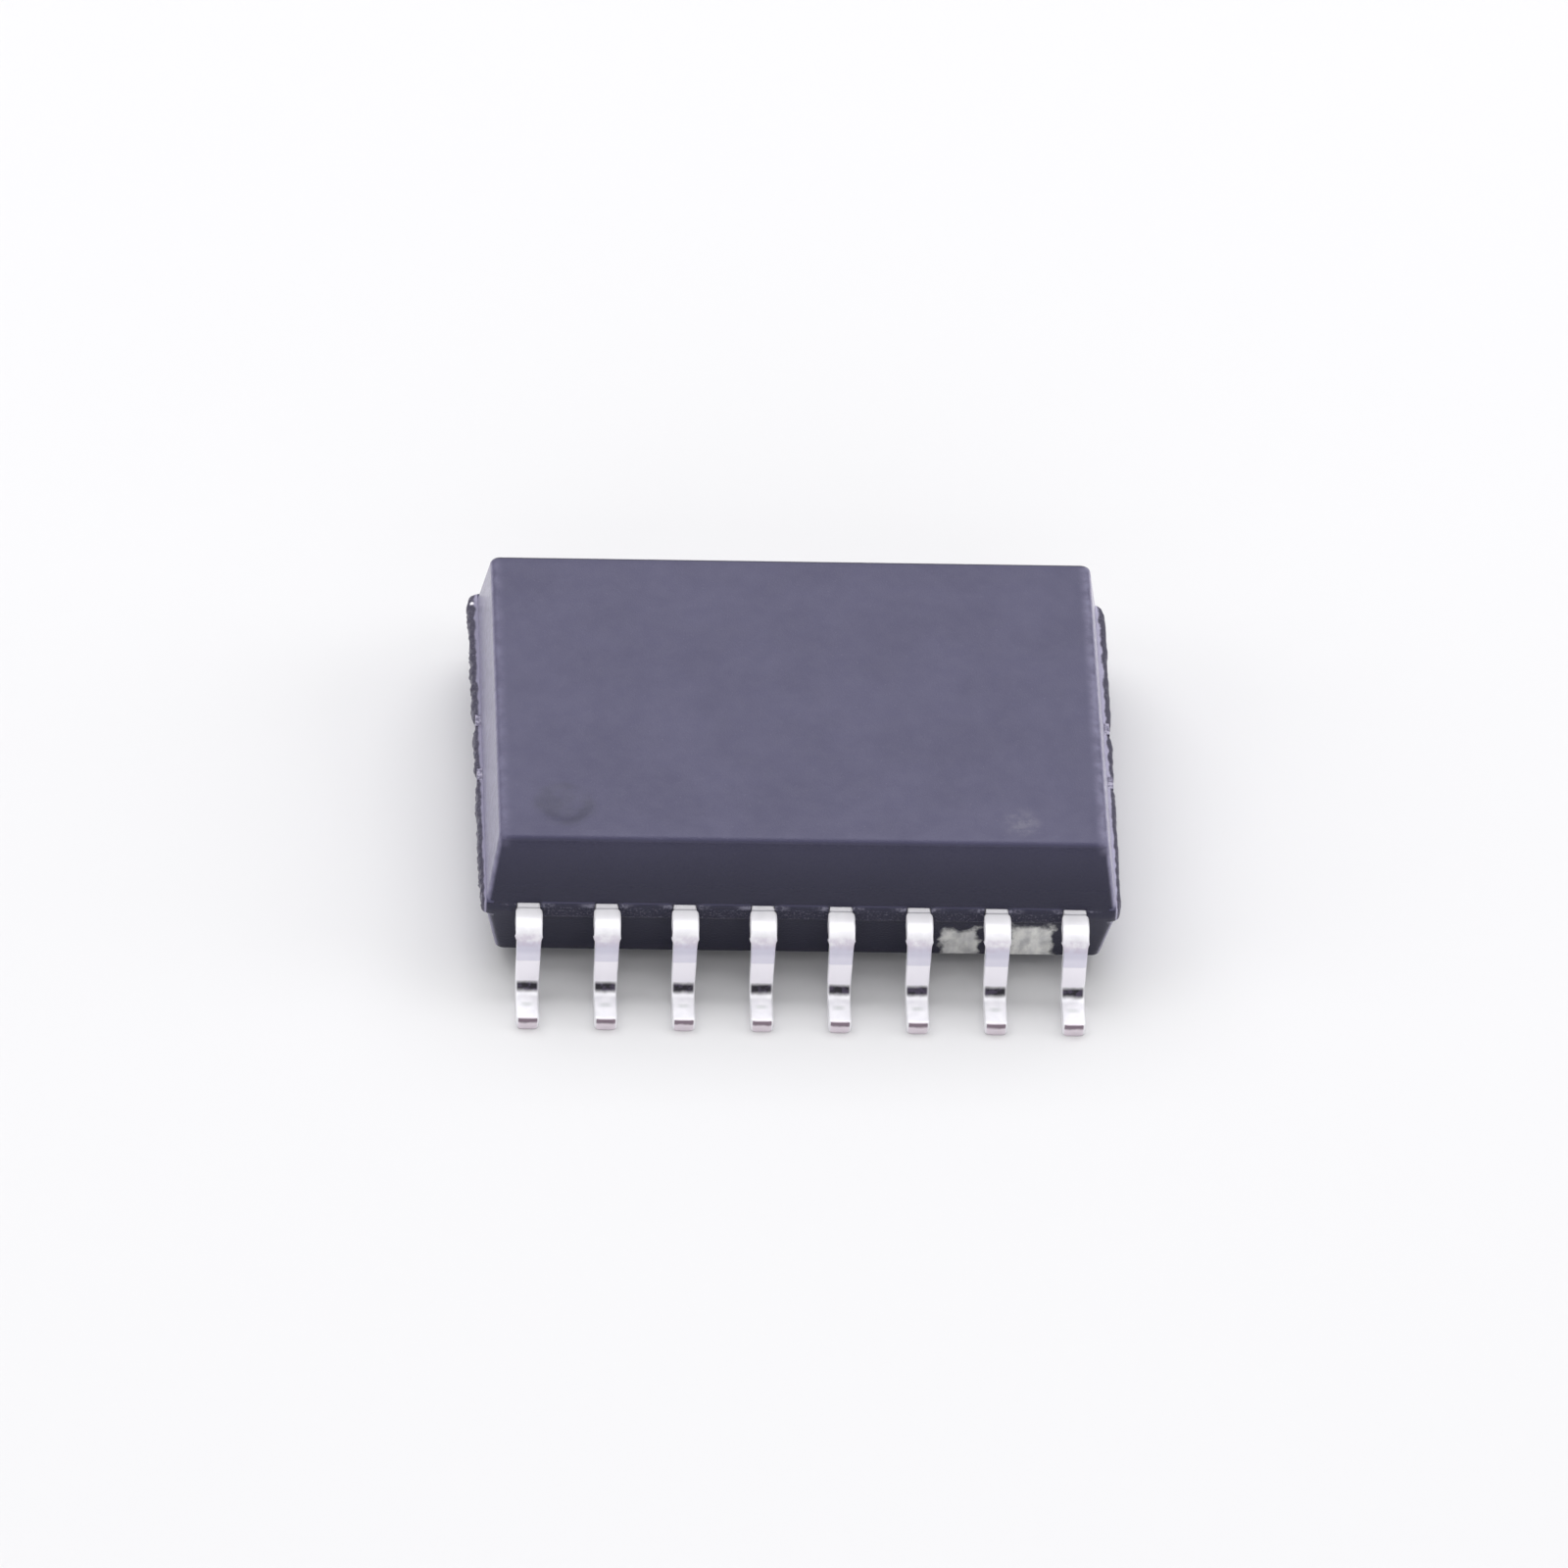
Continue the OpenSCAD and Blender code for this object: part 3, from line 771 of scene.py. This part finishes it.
def shell_track():
    """Once round the package: (kind, value, side) of every column of points."""
    xs, ys = side_places(), end_places()
    arc = [90 * k / ARC_STEPS for k in range(1, ARC_STEPS)]
    track = [("side", x, -1) for x in xs]
    track += [("arc", math.radians(-90 + a), (1, -1)) for a in arc]
    track += [("end", y, 1) for y in ys]
    track += [("arc", math.radians(a), (1, 1)) for a in arc]
    track += [("side", x, 1) for x in reversed(xs)]
    track += [("arc", math.radians(90 + a), (-1, 1)) for a in arc]
    track += [("end", y, -1) for y in reversed(ys)]
    track += [("arc", math.radians(180 + a), (-1, -1)) for a in arc]
    return track


def drawn_in(value, half_now, half_full, exact):
    """A place along a wall, drawn in with the draft; where exact, only close to the corners."""
    if not exact:
        return value * half_now / half_full
    return value + math.copysign(1, value) * (half_now - half_full) * (abs(value) / half_full) ** 24


def shell_point(column, level, gap_side):
    """The place in mm of the shell's point in a column of the track, at a level."""
    kind, value, face = column
    z, rounding, flash = level
    inset_x, inset_y = wall_inset(z)
    half_x = END - inset_x - rounding - CORNER
    half_y = SIDE - inset_y - rounding - CORNER
    band = flash is not None
    share = flash or 0.0
    drop = 0.0
    if kind == "side":
        x = drawn_in(value, half_x, END - CORNER, band)
        reach = ledge_reach(value, face * SIDE, z)
        extra = share * (reach + inset_y) if reach > 0 else 0.0
        y = face * (half_y + CORNER + extra)
    elif kind == "end":
        y = drawn_in(value, half_y, SIDE - CORNER, band)
        extra = 0.0 if gap_side else share * (flash_reach(face * END, value, z) + inset_x)
        x = face * (half_x + CORNER + extra)
        if 0.5 < share < 1 and not gap_side:
            level_out = smooth(SIDE - CORNER - abs(value), 0, 0.25)
            drop = 0.016 * share * level_out * (rough(x, y, 3, 11) + 0.4)
    else:
        sx, sy = face
        place = sy * (half_y + CORNER * abs(math.sin(value)))
        weight = max(0.0, abs(math.cos(value))) ** (0.6 if sx < 0 < sy else 1.5)
        extra = share * weight * (flash_reach(sx * END, place, z) + inset_x)
        x = sx * half_x + (CORNER + extra) * math.cos(value)
        y = sy * half_y + (CORNER + extra) * math.sin(value)
    toward_middle = -1 if z > PARTING else 1
    return Vector((x, y, z + toward_middle * drop))


def gap_flags(track):
    """For each column, whether it is inside a tie bar's gap; of the twins at an edge, the inner one is."""
    flags = []
    for k, (kind, value, _) in enumerate(track):
        if kind != "end" or not in_tie_gap(value, edges_too=True):
            flags.append(False)
            continue
        before, after = track[k - 1], track[k + 1]
        twin_before = before[0] == "end" and abs(before[1] - value) < 1e-9
        twin_after = after[0] == "end" and abs(after[1] - value) < 1e-9
        if twin_after:
            flags.append(in_tie_gap(before[1], edges_too=False))
        elif twin_before:
            flags.append(in_tie_gap(after[1], edges_too=False))
        else:
            flags.append(True)
    return flags


def open_cell(a, b, gap_a, gap_b):
    """Whether the wall is open between two columns at the height of the lead frame."""
    if a[0] == "side" and b[0] == "side":
        middle = (a[1] + b[1]) / 2
        return any(abs(middle - place) < WIDTH / 2 for place in lead_places())
    return a[0] == "end" and b[0] == "end" and gap_a and gap_b


def shell_walls(bm):
    """Adds the walls with flash and ledges; returns their track, and their lowest and highest loops."""
    track = shell_track()
    gaps = gap_flags(track)
    levels = shell_levels()
    loops = []
    for level in levels:
        loops.append([bm.verts.new(shell_point(c, level, g) * MM) for c, g in zip(track, gaps)])
    for low, high, a, b in zip(levels, levels[1:], loops, loops[1:]):
        in_frame = low[2] is not None and high[2] is not None
        for k in range(len(track)):
            n = (k + 1) % len(track)
            if in_frame and open_cell(track[k], track[n], gaps[k], gaps[n]):
                continue
            bm.faces.new((a[k], a[n], b[n], b[k]))
    return track, loops[0], loops[-1]


def top_height(x, y):
    """Height of the top, with the soft recess that marks lead 1."""
    r = math.hypot(x - MARK_PLACE[0], y - MARK_PLACE[1]) + 0.012 * rough(x, y, 5, 2)
    return TOP - MARK_DEPTH * smooth(MARK_RADIUS - r, 0, MARK_SOFT)


def under_height(x, y):
    """Height of the underside, with the two ejector marks."""
    r = min(math.hypot(x - ex, y - ey) for ex, ey in EJECTORS)
    return STANDOFF + EJECTOR_DEPTH * smooth(EJECTOR_RADIUS - r, 0, 0.04)


def shell_cap(bm, track, loop, height, rounding, inset, up):
    """Adds the flat face inside a loop: a net of points, a strip along each edge and a fan in each corner."""
    half_x = END - inset[0] - rounding - CORNER
    half_y = SIDE - inset[1] - rounding - CORNER
    xs, ys = side_places(), end_places()
    net = {}
    for i, x in enumerate(xs):
        for j, y in enumerate(ys):
            px, py = x * half_x / (END - CORNER), y * half_y / (SIDE - CORNER)
            net[i, j] = bm.verts.new(Vector((px, py, height(px, py))) * MM)

    def face(*corners):
        bm.faces.new(corners if up else corners[::-1])

    last_i, last_j = len(xs) - 1, len(ys) - 1
    for i in range(last_i):
        for j in range(last_j):
            face(net[i, j], net[i + 1, j], net[i + 1, j + 1], net[i, j + 1])
    sides = {(kind, side): [k for k, c in enumerate(track) if c[0] == kind and c[2] == side]
             for kind in ("side", "end") for side in (-1, 1)}
    front, right = sides["side", -1], sides["end", 1]
    rear, left = sides["side", 1][::-1], sides["end", -1][::-1]
    for i in range(last_i):
        face(loop[front[i]], loop[front[i + 1]], net[i + 1, 0], net[i, 0])
        face(net[i, last_j], net[i + 1, last_j], loop[rear[i + 1]], loop[rear[i]])
    for j in range(last_j):
        face(net[last_i, j], loop[right[j]], loop[right[j + 1]], net[last_i, j + 1])
        face(loop[left[j]], net[0, j], net[0, j + 1], loop[left[j + 1]])
    fans = ((front[-1], net[last_i, 0]), (right[-1], net[last_i, last_j]),
            (sides["side", 1][-1], net[0, last_j]), (sides["end", -1][-1], net[0, 0]))
    for start, centre in fans:
        for k in range(start, start + ARC_STEPS):
            face(centre, loop[k % len(loop)], loop[(k + 1) % len(loop)])


def cavity_faces(bm, node):
    """Adds the CAD body's inner faces: the slots and spaces that the leads, paddle, die and wires fill."""
    part = cad_copy(node)
    outer = []
    for face in part.faces:
        x, y, z = (face.calc_center_median() + face.normal * 0.02 * MM) / MM
        inset_x, inset_y = wall_inset(z)
        inside = abs(x) < END - inset_x - 0.002 and abs(y) < SIDE - inset_y - 0.002
        at_corner = abs(x) > END - 2 * CORNER and abs(y) > SIDE - 2 * CORNER
        if at_corner or not (inside and STANDOFF + 0.1 < z < TOP - 0.1):
            outer.append(face)
    bmesh.ops.delete(part, geom=outer, context="FACES")
    move_into(bm, part)


def moulded_body():
    """The body's shell with worn edges, torn flash and ledges, round the CAD body's own cavities."""
    bm = bmesh.new()
    track, lowest, highest = shell_walls(bm)
    shell_cap(bm, track, highest, top_height, TOP_EDGE, TOP_INSET, True)
    shell_cap(bm, track, lowest, under_height, BOTTOM_EDGE, BOTTOM_INSET, False)
    bmesh.ops.remove_doubles(bm, verts=bm.verts[:], dist=1e-4 * MM)
    cavity_faces(bm, frame["nodes"]["body"])
    piece("body_moulded", bm, "body", 38)


# ---- Stage, light and camera ----

def floor():
    """White paper under the package."""
    bpy.ops.mesh.primitive_plane_add(size=3, location=(0, 0, 0))
    plane = bpy.context.object
    plane.name = "floor"
    t = Material("floor_paper")
    t.surface(Base_Color=srgb(224, 224, 224), Roughness=0.9)
    plane.data.materials.append(t.material)


def softbox(name, place_mm, size_mm, radiance):
    """A rectangular area lamp aimed at the package, of the given radiance, where 1 is white."""
    data = bpy.data.lights.new(name, "AREA")
    data.shape = "RECTANGLE"
    data.size, data.size_y = (s * MM for s in size_mm)
    data.energy = radiance * math.pi * data.size * data.size_y
    data.color = (0.98, 0.975, 1.0)
    lamp = bpy.data.objects.new(name, data)
    bpy.context.scene.collection.objects.link(lamp)
    lamp.location = Vector(place_mm) * MM
    toward_package = Vector((0, 0, 0)) - Vector(place_mm)
    lamp.rotation_euler = toward_package.to_track_quat("-Z", "Y").to_euler()


def world():
    """Bright behind the object, grey to pale upward in its reflections, and a plain fill for the rest."""
    made = bpy.data.worlds.new("studio")
    bpy.context.scene.world = made
    made.use_nodes = True
    t = Nodes(made.node_tree)
    x, y, z = t.axes(t.add("ShaderNodeTexCoord").outputs["Generated"])
    height = t.math("MULTIPLY_ADD", t.absolute(x), 0.6, z)
    height = t.math("MULTIPLY_ADD", y, 0.2, height)
    reflected = t.ramp(height, 0.40, 0.75, 0.10, 0.60)
    rays = t.add("ShaderNodeLightPath").outputs
    strength = t.blend(rays["Is Glossy Ray"], 0.36, reflected)
    strength = t.blend(rays["Is Camera Ray"], strength, 0.95)
    background = t.tree.nodes["Background"]
    background.inputs["Color"].default_value = (1, 1, 1, 1)
    t.link(strength, background.inputs["Strength"])


def studio():
    """A large lamp above and behind, and a lower one at each side and in front."""
    softbox("key", (-10, 120, 260), (460, 320), 2.2)
    softbox("left_fill", (-260, -40, 140), (180, 220), 1.3)
    softbox("right_fill", (260, 0, 140), (160, 220), 1.9)
    softbox("front_fill", (0, -280, 110), (420, 160), 1.12)


def camera():
    """The photograph's view: a long lens, slightly rolled, 43 degrees above the floor."""
    azimuth, elevation, roll = (math.radians(a) for a in (-4.521, 42.576, 3.847))
    distance, aim_height, shift_right, shift_up = (278.58 * MM, 1.2 * MM, 0.1525 * MM, 0.336 * MM)
    back = Vector((
        math.sin(azimuth) * math.cos(elevation),
        -math.cos(azimuth) * math.cos(elevation),
        math.sin(elevation),
    ))
    right = Vector((math.cos(azimuth), math.sin(azimuth), 0))
    up = back.cross(right)
    turned_right = math.cos(roll) * right + math.sin(roll) * up
    turned_up = -math.sin(roll) * right + math.cos(roll) * up
    aim = Vector((0, 0, aim_height)) - shift_right * turned_right - shift_up * turned_up
    data = bpy.data.cameras.new("camera")
    data.lens = 389.5
    data.sensor_width = 36
    data.clip_start = 0.01
    data.clip_end = 10
    cam = bpy.data.objects.new("camera", data)
    bpy.context.scene.collection.objects.link(cam)
    turned = Matrix((turned_right, turned_up, back)).transposed().to_4x4()
    cam.matrix_world = Matrix.Translation(aim + back * distance) @ turned
    bpy.context.scene.camera = cam


slots = {part["node"]: part["material_slot"] for part in frame["record"]["subparts"]}
materials = dress_cad_nodes()
moulded_body()
for number in range(1, 2 * LEADS_PER_SIDE + 1):
    formed_lead(number)
floor()
world()
studio()
camera()
bpy.context.scene.view_settings.view_transform = "Standard"
